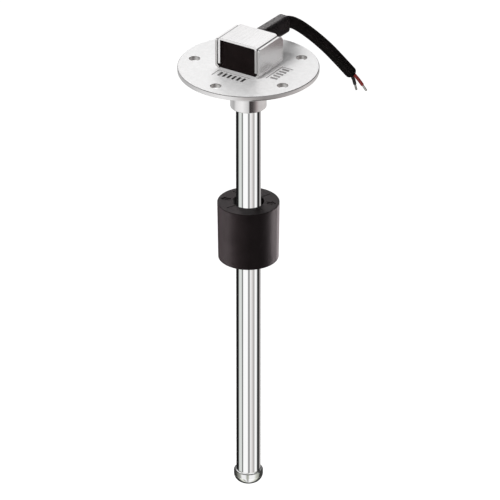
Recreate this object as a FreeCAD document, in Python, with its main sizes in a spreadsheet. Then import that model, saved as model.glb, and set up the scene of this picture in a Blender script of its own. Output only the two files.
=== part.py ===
"""Stem-type fuel level switch with a sliding magnetic float.

Millimetres, +Z up. The origin is the centre of the flange's underside, which seats on the tank.
The head, the board and the wires lie in the head's own frame, turned about Z by head_yaw.
"""

import FreeCAD, Part
import math
import os

import Sketcher

DRIVING_SIZES = [
    # flange and neck, one casting
    ("flange_diameter", 68.0),
    ("flange_thickness", 2.3),
    ("flange_top_round", 0.45),
    ("flange_low_round", 0.15),
    ("bolt_circle", 54.0),
    ("bolt_hole", 5.5),
    ("bolt_count", 5),
    ("bolt_start", 19.0),
    ("neck_diameter", 17.6),
    ("neck_length", 19.0),
    ("neck_root_round", 0.8),
    ("wire_hole", 7.0),
    ("seat_lip", 1.2),
    # plain panels beside the head, with raised bars
    ("panel_depth", 0.3),
    ("panel_width", 6.4),
    ("front_panel_length", 19.0),
    ("side_panel_length", 14.5),
    ("panel_gap", 1.6),
    ("bar_width", 1.0),
    ("bar_length", 3.6),
    ("bar_pitch", 2.6),
    # stem and its end cap
    ("insertion_length", 227.0),
    ("stem_diameter", 12.0),
    ("stem_wall", 1.0),
    ("stem_fit", 0.05),
    ("cap_overhang", 1.25),
    ("cap_height", 6.9),
    ("cap_round", 4.4),
    ("cap_top_round", 0.8),
    ("spigot_length", 6.0),
    # float
    ("float_diameter", 30.3),
    ("float_height", 30.2),
    ("float_depth", 70.55),
    ("float_draft", 0.4),
    ("float_edge_round", 0.4),
    ("float_clearance", 0.4),
    ("mouth_gap", 1.6),
    ("mouth_depth", 4.0),
    ("groove_width", 0.6),
    ("groove_depth", 0.35),
    ("groove_length", 4.6),
    ("groove_angle", 35.0),
    ("mark_length", 5.0),
    ("mark_width", 4.4),
    ("mark_tip", 2.5),
    ("mark_shaft", 2.4),
    ("mark_depth", 0.6),
    ("mark_inset", 1.3),
    ("mark_angle", 168.0),
    ("bore_wall", 2.2),
    ("magnet_ring", 3.6),
    ("magnet_height", 8.0),
    ("magnet_fit", 0.1),
    ("plug_height", 2.0),
    # head: two folded channels around the potting
    ("head_yaw", -33.0),
    ("head_width", 25.2),
    ("head_setback", 9.8),
    ("sheet_thickness", 1.2),
    ("layer_gap", 0.4),
    ("base_height", 15.1),
    ("base_depth", 20.8),
    ("cover_rise", 1.0),
    ("cover_depth", 18.4),
    ("bend_radius", 2.2),
    ("cover_bend", 1.6),
    ("front_corner", 1.5),
    ("back_corner", 3.5),
    ("block_recess", 1.0),
    ("block_foot", 1.2),
    ("floor_setback", 3.0),
    ("block_fit", 0.05),
    # boot, cable and wires
    ("boot_width", 7.0),
    ("boot_height", 7.0),
    ("boot_rise", 10.1),
    ("boot_length", 22.9),
    ("boot_grip", 6.0),
    ("boot_round", 1.6),
    ("cable_diameter", 5.9),
    ("wire_diameter", 1.1),
    ("wire_gap", 0.03),
    ("wire_room", 0.25),
    ("wire_bend", 4.0),
    ("wire_overlap", 3.2),
    ("lead_diameter", 1.7),
    ("lead_spacing", 2.4),
    ("tip_diameter", 1.1),
    ("tip_length", 5.0),
    # reed board in the stem
    ("board_width", 8.6),
    ("board_thickness", 1.0),
    ("board_fit", 0.05),
    ("board_rise", 4.0),
    ("seal_depth", 9.0),
    ("seal_length", 8.0),
    ("foot_height", 8.0),
    ("foot_slot", 6.0),
    ("first_reed", 30.0),
    ("reed_pitch", 21.0),
    ("reed_length", 10.0),
    ("reed_diameter", 2.2),
    ("reed_wire", 0.5),
    ("reed_room", 0.2),
    ("resistor_length", 3.2),
    ("resistor_width", 1.6),
    ("resistor_height", 0.6),
    ("solder_gap", 0.9),
]

# the cable's route from the boot's end, in the head's frame: out of the head, and up
CABLE_ROUTE = [
    (0.0, 0.0),
    (4.0, 0.0),
    (8.0, -2.5),
    (13.2, -6.7),
    (21.0, -13.2),
    (30.2, -21.0),
    (40.2, -30.1),
    (50.4, -40.1),
    (61.2, -51.3),
]
# each lead's run lengths, with how far every run dips and turns aside, in degrees
LEAD_RUNS = [4.0, 4.5, 4.0]
SIGNAL_DIPS = [46.0, 50.0, 55.0]
GROUND_DIPS = [46.0, 53.0, 60.0]
LEAD_TURNS = [0.0, 7.0, 13.0]

doc = FreeCAD.newDocument("FuelLevelSwitch")
sizes = doc.addObject("Spreadsheet::Sheet", "Sizes")
for row, (alias, number) in enumerate(DRIVING_SIZES, start=1):
    sizes.set(f"A{row}", alias)
    sizes.set(f"B{row}", str(number))
    sizes.setAlias(f"B{row}", alias)
doc.recompute()

subparts = []


def size(alias):
    """The number in a driving cell."""
    return float(sizes.get(alias))


def add_body(label, in_head_frame=False):
    """A new body for one sub-part."""
    body = doc.addObject("PartDesign::Body", label)
    body.Label = label
    if in_head_frame:
        body.setExpression("Placement.Rotation.Angle", "Sizes.head_yaw")
    subparts.append(body)
    return body


def origin_feature(body, role):
    """One of the body's own planes or axes."""
    return next(f for f in body.Origin.OriginFeatures if f.Role == role)


def add_sketch(body, name, role, lift=None, turn=None):
    """A sketch on an origin plane, moved along and turned about the plane's normal."""
    sketch = body.newObject("Sketcher::SketchObject", name)
    sketch.AttachmentSupport = [(origin_feature(body, role), "")]
    sketch.MapMode = "FlatFace"
    if lift:
        sketch.setExpression("AttachmentOffset.Base.z", lift)
    if turn:
        sketch.setExpression("AttachmentOffset.Rotation.Angle", turn)
    return sketch


def place_point(sketch, geometry, position, x, y):
    """Ties a point of the sketch to its x and y from the sketch's origin."""
    for kind, text in (("DistanceX", x), ("DistanceY", y)):
        tie = Sketcher.Constraint(kind, -1, 1, geometry, position, 1.0)
        index = sketch.addConstraint(tie)
        sketch.setExpression(f"Constraints[{index}]", text)


def add_outline(sketch, corners):
    """A closed outline of straight lines through corners, each an x and y expression."""
    first = len(sketch.Geometry)
    count = len(corners)
    start = []
    for i in range(count):
        angle = 2 * math.pi * i / count
        start.append(FreeCAD.Vector(math.cos(angle), math.sin(angle), 0))
    for i in range(count):
        sketch.addGeometry(Part.LineSegment(start[i], start[(i + 1) % count]), False)
    for i in range(count):
        here = first + i
        after = first + (i + 1) % count
        sketch.addConstraint(Sketcher.Constraint("Coincident", here, 2, after, 1))
    for i, (x, y) in enumerate(corners):
        place_point(sketch, first + i, 1, x, y)


def add_rectangle(sketch, left, right, low, high):
    """A closed rectangle between four expressions."""
    add_outline(sketch, [(left, low), (right, low), (right, high), (left, high)])


def add_circle(sketch, diameter, x="0", y="0"):
    """A circle with its diameter and centre as expressions."""
    up = FreeCAD.Vector(0, 0, 1)
    index = sketch.addGeometry(Part.Circle(FreeCAD.Vector(0, 0, 0), up, 1.0), False)
    tie = sketch.addConstraint(Sketcher.Constraint("Diameter", index, 2.0))
    sketch.setExpression(f"Constraints[{tie}]", diameter)
    place_point(sketch, index, 3, x, y)


def revolve(body, name, sketch):
    """Turns a half section once round the sketch's vertical axis."""
    turned = body.newObject("PartDesign::Revolution", name)
    turned.Profile = sketch
    turned.ReferenceAxis = (sketch, ["V_Axis"])
    turned.Angle = 360
    doc.recompute()
    return turned


def pad(body, name, sketch, length, both_ways=False):
    """Pads a sketch along its normal."""
    padded = body.newObject("PartDesign::Pad", name)
    padded.Profile = sketch
    padded.setExpression("Length", length)
    if both_ways:
        padded.SideType = "Symmetric"
    doc.recompute()
    return padded


def pocket(body, name, sketch, depth=None, along_normal=False):
    """Cuts a sketch into the body, right through it where no depth is given."""
    doc.recompute()
    volume = body.Shape.Volume
    cut = body.newObject("PartDesign::Pocket", name)
    cut.Profile = sketch
    cut.Reversed = along_normal
    if depth:
        cut.setExpression("Length", depth)
    else:
        cut.Type = "ThroughAll"
    doc.recompute()
    if body.Shape.Volume > volume - 1e-6:
        raise RuntimeError(f"{body.Label}: {name} cuts nothing")
    return cut


def polar_pattern(body, name, feature, count):
    """Copies a feature evenly round the body's Z axis."""
    pattern = body.newObject("PartDesign::PolarPattern", name)
    pattern.Originals = [feature]
    pattern.Axis = (origin_feature(body, "Z_Axis"), [""])
    pattern.Angle = 360
    pattern.Occurrences = count
    body.Tip = pattern
    doc.recompute()
    return pattern


def linear_pattern(body, name, feature, pitch, count):
    """Copies a feature at an even pitch down the body's Z axis."""
    pattern = body.newObject("PartDesign::LinearPattern", name)
    pattern.Originals = [feature]
    pattern.Direction = (origin_feature(body, "Z_Axis"), [""])
    pattern.Reversed = True
    pattern.setExpression("Length", f"{pitch} * {count - 1}")
    pattern.Occurrences = count
    body.Tip = pattern
    doc.recompute()
    return pattern


def round_edges(body, name, radius, chosen):
    """Rounds the edges that the test chooses from the body's tip."""
    tip = body.Tip
    names = []
    for number, edge in enumerate(tip.Shape.Edges, start=1):
        if chosen(edge):
            names.append(f"Edge{number}")
    if not names:
        raise RuntimeError(f"{body.Label}: {name} finds no edge")
    rounded = body.newObject("PartDesign::Fillet", name)
    rounded.Base = (tip, names)
    rounded.setExpression("Radius", radius)
    doc.recompute()
    return rounded


def near(a, b):
    """Are two lengths the same?"""
    return abs(a - b) < 1e-4


def is_rim(edge, radius, z):
    """Is the edge a circle of this radius about Z at this height?"""
    if not isinstance(edge.Curve, Part.Circle):
        return False
    level = near(edge.BoundBox.ZMin, z) and near(edge.BoundBox.ZMax, z)
    centre = edge.Curve.Center
    return level and near(edge.Curve.Radius, radius) and near(math.hypot(centre.x, centre.y), 0)


def runs_along(edge, axis):
    """Is the edge a straight line along X, Y or Z?"""
    if not isinstance(edge.Curve, Part.Line):
        return False
    return abs(getattr(edge.tangentAt(edge.FirstParameter), axis)) > 0.9999


def add_feature(label, shape, placement=None):
    """A sub-part whose shape is built here, with its placement set after its shape."""
    part = doc.addObject("Part::Feature", label)
    part.Label = label
    part.Shape = shape
    if placement:
        part.Placement = placement
    subparts.append(part)
    return part


def add_group(label, pieces):
    """One sub-part of several separate solids, in the head's frame."""
    group = doc.addObject("Part::Compound", label)
    group.Label = label
    group.Links = pieces
    group.setExpression("Placement.Rotation.Angle", "Sizes.head_yaw")
    subparts.append(group)
    return group


def add_cylinder(name, diameter, height, x, z):
    """An upright cylinder of a group, with its foot at x and z."""
    cylinder = doc.addObject("Part::Cylinder", name)
    cylinder.setExpression("Radius", f"({diameter}) / 2")
    cylinder.setExpression("Height", height)
    cylinder.setExpression("Placement.Base.x", x)
    cylinder.setExpression("Placement.Base.z", z)
    return cylinder


def rounded_path(points):
    """Straight runs joined by tangent arcs as large as the runs allow, and the arcs' radii."""
    edges = []
    radii = []
    last = points[0]
    for before, corner, after in zip(points, points[1:], points[2:]):
        come = corner - before
        go = after - corner
        cut = 0.45 * min(come.Length, go.Length)
        half_turn = come.getAngle(go) / 2
        come.normalize()
        go.normalize()
        radius = cut / math.tan(half_turn)
        inward = go - come
        inward.normalize()
        centre = corner + inward * (radius / math.cos(half_turn))
        start = corner - come * cut
        end = corner + go * cut
        edges.append(Part.LineSegment(last, start).toShape())
        edges.append(Part.Arc(start, centre - inward * radius, end).toShape())
        radii.append(radius)
        last = end
    edges.append(Part.LineSegment(last, points[-1]).toShape())
    return Part.Wire(edges), radii


def sweep_round(path, diameter):
    """A round bar along a path of lines and arcs, with its volume tested."""
    first = path.OrderedEdges[0]
    start = first.valueAt(first.FirstParameter)
    section = Part.Wire(Part.makeCircle(diameter / 2, start, first.tangentAt(first.FirstParameter)))
    bar = path.makePipeShell([section], True, False)
    expected = math.pi * (diameter / 2) ** 2 * path.Length
    if abs(bar.Volume / expected - 1) > 1e-3:
        raise RuntimeError(f"a cord's volume is {bar.Volume / expected:.4f} of its section times its length")
    return bar


# Expressions that several pieces share
STEM_BORE = "(Sizes.stem_diameter - 2 * Sizes.stem_wall)"
SOCKET_TOP = "(Sizes.flange_thickness - Sizes.seat_lip)"
STEM_END = "(Sizes.cap_height - Sizes.insertion_length)"
FOOT_LOW = f"({STEM_END} + Sizes.spigot_length)"
BOARD_LOW = f"({FOOT_LOW} + Sizes.foot_height - Sizes.foot_slot)"
BOARD_TOP = "(Sizes.board_rise - Sizes.seal_depth)"
FLOAT_LOW = "(-Sizes.float_depth - Sizes.float_height)"
GUIDE_BORE = "(Sizes.stem_diameter / 2 + Sizes.float_clearance)"
MOUTH = "(Sizes.stem_diameter / 2 + Sizes.mouth_gap)"
POCKET_IN = f"({GUIDE_BORE} + Sizes.bore_wall)"
POCKET_OUT = f"({POCKET_IN} + Sizes.magnet_ring + 2 * Sizes.magnet_fit)"
BASE_FLOOR = "(Sizes.flange_thickness + Sizes.sheet_thickness)"
BASE_TOP = "(Sizes.flange_thickness + Sizes.base_height)"
COVER_TOP = f"({BASE_TOP} + Sizes.cover_rise)"
COVER_HALF = "(Sizes.head_width / 2 - Sizes.sheet_thickness - Sizes.layer_gap)"
BLOCK_STEP = f"({BASE_FLOOR} + Sizes.block_foot)"
BLOCK_HALF = f"({COVER_HALF} - Sizes.sheet_thickness - Sizes.block_fit)"
BASE_BACK = "(Sizes.base_depth - Sizes.head_setback)"
COVER_BACK = "(Sizes.cover_depth - Sizes.head_setback)"
BOOT_AXIS = "(Sizes.flange_thickness + Sizes.boot_rise)"
WIRE_BORE = "(Sizes.board_thickness + 2 * Sizes.wire_diameter + 4 * Sizes.wire_room)"
REED_CENTRE = "(Sizes.board_thickness / 2 + Sizes.reed_wire / 2 + Sizes.wire_gap)"


def make_panel(body, name, centre_x, centre_y, length, along_x, count):
    """A shallow panel in the flange's top beside the head, with raised bars left standing in it."""
    sketch = add_sketch(body, f"{name}_sketch", "XY_Plane", "Sizes.flange_thickness", "Sizes.head_yaw")
    half_long = f"{length} / 2"
    half_wide = "Sizes.panel_width / 2"
    half_x, half_y = (half_long, half_wide) if along_x else (half_wide, half_long)
    add_rectangle(
        sketch,
        f"{centre_x} - {half_x}",
        f"{centre_x} + {half_x}",
        f"{centre_y} - {half_y}",
        f"{centre_y} + {half_y}",
    )
    for i in range(count):
        step = f"{i - (count - 1) / 2} * Sizes.bar_pitch"
        bar_x, bar_y = (f"{centre_x} + {step}", centre_y) if along_x else (centre_x, f"{centre_y} + {step}")
        thin, tall = "Sizes.bar_width / 2", "Sizes.bar_length / 2"
        wide, high = (thin, tall) if along_x else (tall, thin)
        add_rectangle(
            sketch, f"{bar_x} - {wide}", f"{bar_x} + {wide}", f"{bar_y} - {high}", f"{bar_y} + {high}"
        )
    pocket(body, name, sketch, "Sizes.panel_depth")


def bars_that_fit(length):
    """How many raised bars fit in a panel of this length."""
    return int((length - size("bar_width")) / size("bar_pitch"))


def make_flange():
    """The cast flange with its neck, stem socket, screw holes and plain panels."""
    body = add_body("flange")
    section = add_sketch(body, "flange_section", "XZ_Plane")
    socket = "Sizes.stem_diameter / 2 + Sizes.stem_fit"
    add_outline(
        section,
        [
            ("Sizes.wire_hole / 2", "Sizes.flange_thickness"),
            ("Sizes.wire_hole / 2", SOCKET_TOP),
            (socket, SOCKET_TOP),
            (socket, "-Sizes.neck_length"),
            ("Sizes.neck_diameter / 2", "-Sizes.neck_length"),
            ("Sizes.neck_diameter / 2", "0"),
            ("Sizes.flange_diameter / 2", "0"),
            ("Sizes.flange_diameter / 2", "Sizes.flange_thickness"),
        ],
    )
    revolve(body, "flange_turned", section)
    rim = size("flange_diameter") / 2
    top = size("flange_thickness")
    round_edges(body, "flange_top_edge", "Sizes.flange_top_round", lambda e: is_rim(e, rim, top))
    round_edges(body, "flange_low_edge", "Sizes.flange_low_round", lambda e: is_rim(e, rim, 0))
    round_edges(body, "neck_root", "Sizes.neck_root_round", lambda e: is_rim(e, size("neck_diameter") / 2, 0))
    hole_sketch = add_sketch(body, "screw_hole_sketch", "XY_Plane", turn="Sizes.bolt_start")
    add_circle(hole_sketch, "Sizes.bolt_hole", "Sizes.bolt_circle / 2")
    hole = pocket(body, "screw_hole", hole_sketch, along_normal=True)
    polar_pattern(body, "screw_holes", hole, int(size("bolt_count")))
    make_panel(
        body,
        "front_panel",
        "0",
        "-Sizes.head_setback - Sizes.panel_gap - Sizes.panel_width / 2",
        "Sizes.front_panel_length",
        True,
        bars_that_fit(size("front_panel_length")),
    )
    make_panel(
        body,
        "side_panel",
        "Sizes.head_width / 2 + Sizes.panel_gap + Sizes.panel_width / 2",
        f"({BASE_BACK} - Sizes.head_setback) / 2",
        "Sizes.side_panel_length",
        False,
        bars_that_fit(size("side_panel_length")),
    )


def make_stem():
    """The stem tube, from the shoulder in the neck to the end cap."""
    body = add_body("stem_tube")
    ring = add_sketch(body, "stem_ring", "XY_Plane", STEM_END)
    add_circle(ring, "Sizes.stem_diameter")
    add_circle(ring, STEM_BORE)
    pad(body, "stem_length", ring, f"{SOCKET_TOP} - {STEM_END} - Sizes.stem_fit")


def make_end_cap():
    """The cap that closes the stem and stops the float."""
    body = add_body("end_cap")
    section = add_sketch(body, "cap_section", "XZ_Plane")
    head = "Sizes.stem_diameter / 2 + Sizes.cap_overhang"
    spigot = f"{STEM_BORE} / 2 - Sizes.stem_fit"
    add_outline(
        section,
        [
            ("0", "-Sizes.insertion_length"),
            (head, "-Sizes.insertion_length"),
            (head, STEM_END),
            (spigot, STEM_END),
            (spigot, FOOT_LOW),
            ("0", FOOT_LOW),
        ],
    )
    revolve(body, "cap_turned", section)
    radius = size("stem_diameter") / 2 + size("cap_overhang")
    low = -size("insertion_length")
    round_edges(body, "cap_bottom", "Sizes.cap_round", lambda e: is_rim(e, radius, low))
    top = low + size("cap_height")
    round_edges(body, "cap_top", "Sizes.cap_top_round", lambda e: is_rim(e, radius, top))


def make_float():
    """The moulded float, its ring magnet and the ring that closes the magnet's pocket."""
    body = add_body("float_body")
    section = add_sketch(body, "float_section", "XZ_Plane")
    rim = "Sizes.float_diameter / 2"
    low_rim = "Sizes.float_diameter / 2 - Sizes.float_draft"
    pocket_top = f"{FLOAT_LOW} + Sizes.plug_height + Sizes.magnet_height + 2 * Sizes.magnet_fit"
    add_outline(
        section,
        [
            (MOUTH, "-Sizes.float_depth"),
            (MOUTH, "-Sizes.float_depth - Sizes.mouth_depth"),
            (GUIDE_BORE, "-Sizes.float_depth - Sizes.mouth_depth"),
            (GUIDE_BORE, FLOAT_LOW),
            (POCKET_IN, FLOAT_LOW),
            (POCKET_IN, pocket_top),
            (POCKET_OUT, pocket_top),
            (POCKET_OUT, FLOAT_LOW),
            (low_rim, FLOAT_LOW),
            (rim, "-Sizes.float_depth"),
        ],
    )
    revolve(body, "float_turned", section)
    top = -size("float_depth")
    low = top - size("float_height")
    radius = size("float_diameter") / 2
    round_edges(
        body,
        "float_edges",
        "Sizes.float_edge_round",
        lambda e: is_rim(e, radius, top) or is_rim(e, radius - size("float_draft"), low),
    )
    groove_sketch = add_sketch(body, "groove_sketch", "XY_Plane", "-Sizes.float_depth", "Sizes.groove_angle")
    half_groove = "Sizes.groove_width / 2"
    add_rectangle(
        groove_sketch,
        f"{MOUTH} + Sizes.groove_width",
        f"{MOUTH} + Sizes.groove_width + Sizes.groove_length",
        f"-{half_groove}",
        half_groove,
    )
    groove = pocket(body, "groove", groove_sketch, "Sizes.groove_depth")
    polar_pattern(body, "grooves", groove, 4)
    mark_sketch = add_sketch(body, "mark_sketch", "XY_Plane", "-Sizes.float_depth", "Sizes.mark_angle")
    mark_out = f"{rim} - Sizes.mark_inset"
    mark_in = f"{mark_out} - Sizes.mark_length"
    shoulder = f"{mark_out} - Sizes.mark_tip"
    add_outline(
        mark_sketch,
        [
            (mark_in, "-Sizes.mark_shaft / 2"),
            (shoulder, "-Sizes.mark_shaft / 2"),
            (shoulder, "-Sizes.mark_width / 2"),
            (mark_out, "0"),
            (shoulder, "Sizes.mark_width / 2"),
            (shoulder, "Sizes.mark_shaft / 2"),
            (mark_in, "Sizes.mark_shaft / 2"),
        ],
    )
    mark = pocket(body, "mark", mark_sketch, "Sizes.mark_depth")
    polar_pattern(body, "marks", mark, 2)

    magnet = add_body("float_magnet")
    magnet_low = f"{FLOAT_LOW} + Sizes.plug_height + Sizes.magnet_fit"
    ring = add_sketch(magnet, "magnet_ring_sketch", "XY_Plane", magnet_low)
    add_circle(ring, f"2 * ({POCKET_OUT} - Sizes.magnet_fit)")
    add_circle(ring, f"2 * ({POCKET_IN} + Sizes.magnet_fit)")
    pad(magnet, "magnet_pad", ring, "Sizes.magnet_height")

    plug = add_body("magnet_plug")
    plug_ring = add_sketch(plug, "plug_ring_sketch", "XY_Plane", FLOAT_LOW)
    add_circle(plug_ring, f"2 * ({POCKET_OUT} - Sizes.stem_fit)")
    add_circle(plug_ring, f"2 * ({POCKET_IN} + Sizes.stem_fit)")
    pad(plug, "plug_pad", plug_ring, "Sizes.plug_height")


def make_channel(label, half, floor, top, back, depth, upright):
    """A folded channel with its bends rounded, open upwards or downwards."""
    body = add_body(label, in_head_frame=True)
    sketch = add_sketch(body, f"{label}_section", "XZ_Plane", f"-{back}")
    inner = f"{half} - Sizes.sheet_thickness"
    web = f"{floor} + Sizes.sheet_thickness" if upright else f"{top} - Sizes.sheet_thickness"
    shut, mouth = (floor, top) if upright else (top, floor)
    add_outline(
        sketch,
        [
            (f"-({half})", shut),
            (half, shut),
            (half, mouth),
            (inner, mouth),
            (inner, web),
            (f"-({inner})", web),
            (f"-({inner})", mouth),
            (f"-({half})", mouth),
        ],
    )
    pad(body, f"{label}_pad", sketch, depth)
    return body


def make_head():
    """The base and cover channels, the potting between them and the cable boot."""
    thick = size("sheet_thickness")
    bottom = size("flange_thickness")
    base_top = bottom + size("base_height")
    cover_top = base_top + size("cover_rise")
    inner_bend = "Sizes.bend_radius - Sizes.sheet_thickness"
    cover_inner_bend = "Sizes.cover_bend - Sizes.sheet_thickness"

    base = make_channel(
        "head_base",
        "Sizes.head_width / 2",
        "Sizes.flange_thickness",
        BASE_TOP,
        BASE_BACK,
        "Sizes.base_depth",
        True,
    )
    round_edges(
        base, "base_bends", "Sizes.bend_radius", lambda e: runs_along(e, "y") and near(e.BoundBox.ZMin, bottom)
    )
    round_edges(
        base, "base_inner", inner_bend, lambda e: runs_along(e, "y") and near(e.BoundBox.ZMin, bottom + thick)
    )
    front = -size("head_setback")
    back = front + size("base_depth")
    round_edges(
        base,
        "base_front_corners",
        "Sizes.front_corner",
        lambda e: runs_along(e, "x") and near(e.BoundBox.ZMin, base_top) and near(e.BoundBox.YMin, front),
    )
    round_edges(
        base,
        "base_back_corners",
        "Sizes.back_corner",
        lambda e: runs_along(e, "x") and near(e.BoundBox.ZMin, base_top) and near(e.BoundBox.YMin, back),
    )
    floor_hole = add_sketch(base, "floor_hole_sketch", "XY_Plane", BASE_FLOOR)
    add_circle(floor_hole, "Sizes.wire_hole")
    pocket(base, "floor_hole", floor_hole)
    notch = add_sketch(base, "floor_notch_sketch", "XY_Plane", BASE_FLOOR)
    notch_half = "Sizes.head_width / 2 - Sizes.bend_radius"
    notch_back = "Sizes.floor_setback - Sizes.head_setback"
    add_rectangle(notch, f"-({notch_half})", notch_half, "-Sizes.head_setback", notch_back)
    pocket(base, "floor_notch", notch)

    cover = make_channel("head_cover", COVER_HALF, BLOCK_STEP, COVER_TOP, COVER_BACK, "Sizes.cover_depth", False)
    round_edges(
        cover,
        "cover_bends",
        "Sizes.cover_bend",
        lambda e: runs_along(e, "y") and near(e.BoundBox.ZMin, cover_top),
    )
    round_edges(
        cover,
        "cover_inner",
        cover_inner_bend,
        lambda e: runs_along(e, "y") and near(e.BoundBox.ZMin, cover_top - thick),
    )

    block = add_body("head_block", in_head_frame=True)
    section = add_sketch(block, "block_section", "XZ_Plane", f"-{COVER_BACK}")
    foot_half = "Sizes.head_width / 2 - Sizes.sheet_thickness - Sizes.block_fit"
    block_top = f"{COVER_TOP} - Sizes.sheet_thickness"
    add_outline(
        section,
        [
            (f"-({foot_half})", BASE_FLOOR),
            (foot_half, BASE_FLOOR),
            (foot_half, BLOCK_STEP),
            (BLOCK_HALF, BLOCK_STEP),
            (BLOCK_HALF, block_top),
            (f"-{BLOCK_HALF}", block_top),
            (f"-{BLOCK_HALF}", BLOCK_STEP),
            (f"-({foot_half})", BLOCK_STEP),
        ],
    )
    pad(block, "block_pad", section, "Sizes.cover_depth - Sizes.block_recess")
    foot_edge = size("head_width") / 2 - thick - size("block_fit")
    round_edges(
        block,
        "block_foot_round",
        inner_bend,
        lambda e: runs_along(e, "y")
        and near(e.BoundBox.ZMin, bottom + thick)
        and near(abs(e.BoundBox.XMin), foot_edge),
    )
    block_edge = size("head_width") / 2 - 2 * thick - size("layer_gap") - size("block_fit")
    round_edges(
        block,
        "block_top_round",
        cover_inner_bend,
        lambda e: runs_along(e, "y")
        and near(e.BoundBox.ZMin, cover_top - thick)
        and near(abs(e.BoundBox.XMin), block_edge),
    )
    nose = add_sketch(block, "nose_sketch", "XY_Plane", "Sizes.flange_thickness + Sizes.block_fit")
    nose_half = f"{notch_half} - Sizes.block_fit"
    nose_front = "Sizes.block_recess - Sizes.head_setback"
    add_rectangle(nose, f"-({nose_half})", nose_half, nose_front, f"{notch_back} - Sizes.block_fit")
    pad(block, "block_nose", nose, "Sizes.sheet_thickness - Sizes.block_fit + Sizes.block_foot / 2")
    grip = add_sketch(block, "grip_sketch", "XZ_Plane", f"-{COVER_BACK}")
    grip_half = "Sizes.boot_width / 2 + Sizes.block_fit"
    grip_high = "Sizes.boot_height / 2 + Sizes.block_fit"
    add_rectangle(grip, f"-({grip_half})", grip_half, f"{BOOT_AXIS} - ({grip_high})", f"{BOOT_AXIS} + {grip_high}")
    pocket(block, "boot_socket", grip, "Sizes.boot_grip", along_normal=True)
    shaft = add_sketch(block, "shaft_sketch", "XY_Plane", BASE_FLOOR)
    half_bore = f"{WIRE_BORE} / 2"
    add_rectangle(shaft, f"-{half_bore}", half_bore, f"-{half_bore}", f"{COVER_BACK} - Sizes.boot_grip")
    pocket(block, "wire_shaft", shaft, f"{BOOT_AXIS} - {BASE_FLOOR} + {half_bore}", along_normal=True)

    boot = add_body("cable_boot", in_head_frame=True)
    end = add_sketch(boot, "boot_section", "XZ_Plane", f"-{COVER_BACK} - Sizes.boot_length")
    half_wide = "Sizes.boot_width / 2"
    half_high = "Sizes.boot_height / 2"
    add_rectangle(end, f"-{half_wide}", half_wide, f"{BOOT_AXIS} - {half_high}", f"{BOOT_AXIS} + {half_high}")
    pad(boot, "boot_pad", end, "Sizes.boot_length + Sizes.boot_grip")
    round_edges(boot, "boot_long_edges", "Sizes.boot_round", lambda e: runs_along(e, "y"))
    bore = add_sketch(boot, "boot_bore_sketch", "XZ_Plane", f"-{COVER_BACK} - Sizes.boot_length")
    add_circle(bore, WIRE_BORE, "0", BOOT_AXIS)
    pocket(boot, "boot_bore", bore, along_normal=True)


def head_frame(across, out, up):
    """A point given in the head's frame, in the part's frame."""
    turn = FreeCAD.Rotation(FreeCAD.Vector(0, 0, 1), size("head_yaw"))
    return turn.multVec(FreeCAD.Vector(across, out, up))


def make_wires():
    """The two wires from the board up through the flange and along the boot to the cable."""
    axis = size("flange_thickness") + size("boot_rise")
    end = size("cover_depth") - size("head_setback") + size("boot_length")
    low = size("board_rise") - size("seal_depth") - size("wire_overlap")
    bend = size("wire_bend")
    aside = (size("board_thickness") + size("wire_diameter")) / 2 + size("wire_gap")
    for label, across in (("signal_wire", -aside), ("ground_wire", aside)):
        rise_end = head_frame(across, 0, axis - bend)
        run_start = head_frame(across, bend, axis)
        reach = bend * math.sqrt(0.5)
        middle = head_frame(across, bend - reach, axis - bend + reach)
        path = Part.Wire(
            [
                Part.LineSegment(head_frame(across, 0, low), rise_end).toShape(),
                Part.Arc(rise_end, middle, run_start).toShape(),
                Part.LineSegment(run_start, head_frame(across, end, axis)).toShape(),
            ]
        )
        add_feature(label, sweep_round(path, size("wire_diameter")))


def make_cable():
    """The cable from the boot's end, and the two leads with tinned tips at its far end."""
    axis = size("flange_thickness") + size("boot_rise")
    end = size("cover_depth") - size("head_setback") + size("boot_length")
    points = [head_frame(0, end + out, axis + up) for out, up in CABLE_ROUTE]
    path, radii = rounded_path(points)
    add_feature("cable", sweep_round(path, size("cable_diameter")))
    print("cable length", round(path.Length, 2), "radii", [round(r, 1) for r in radii])

    heading = points[-1] - points[-2]
    heading.normalize()
    sideways = head_frame(1, 0, 0)
    cable_dip = math.degrees(math.asin(-heading.z))
    for label, dips, side in (("signal_lead", SIGNAL_DIPS, 1), ("ground_lead", GROUND_DIPS, -1)):
        route = [points[-1] + sideways * (side * size("lead_spacing") / 2)]
        for i, (length, dip, turn) in enumerate(zip(LEAD_RUNS, dips, LEAD_TURNS)):
            pitch = math.radians(dip if i else cable_dip)
            aside = math.radians(side * turn)
            out = math.cos(pitch) * math.cos(aside)
            across = math.cos(pitch) * math.sin(aside)
            route.append(route[-1] + head_frame(across, out, -math.sin(pitch)) * length)
        lead, lead_radii = rounded_path(route)
        add_feature(label, sweep_round(lead, size("lead_diameter")))
        print(label, "length", round(lead.Length, 2), "radii", [round(r, 1) for r in lead_radii])
        ahead = route[-1] - route[-2]
        ahead.normalize()
        tip = Part.makeCylinder(size("tip_diameter") / 2, size("tip_length"), route[-1], ahead)
        add_feature(f"{label}_tip", tip)


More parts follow.
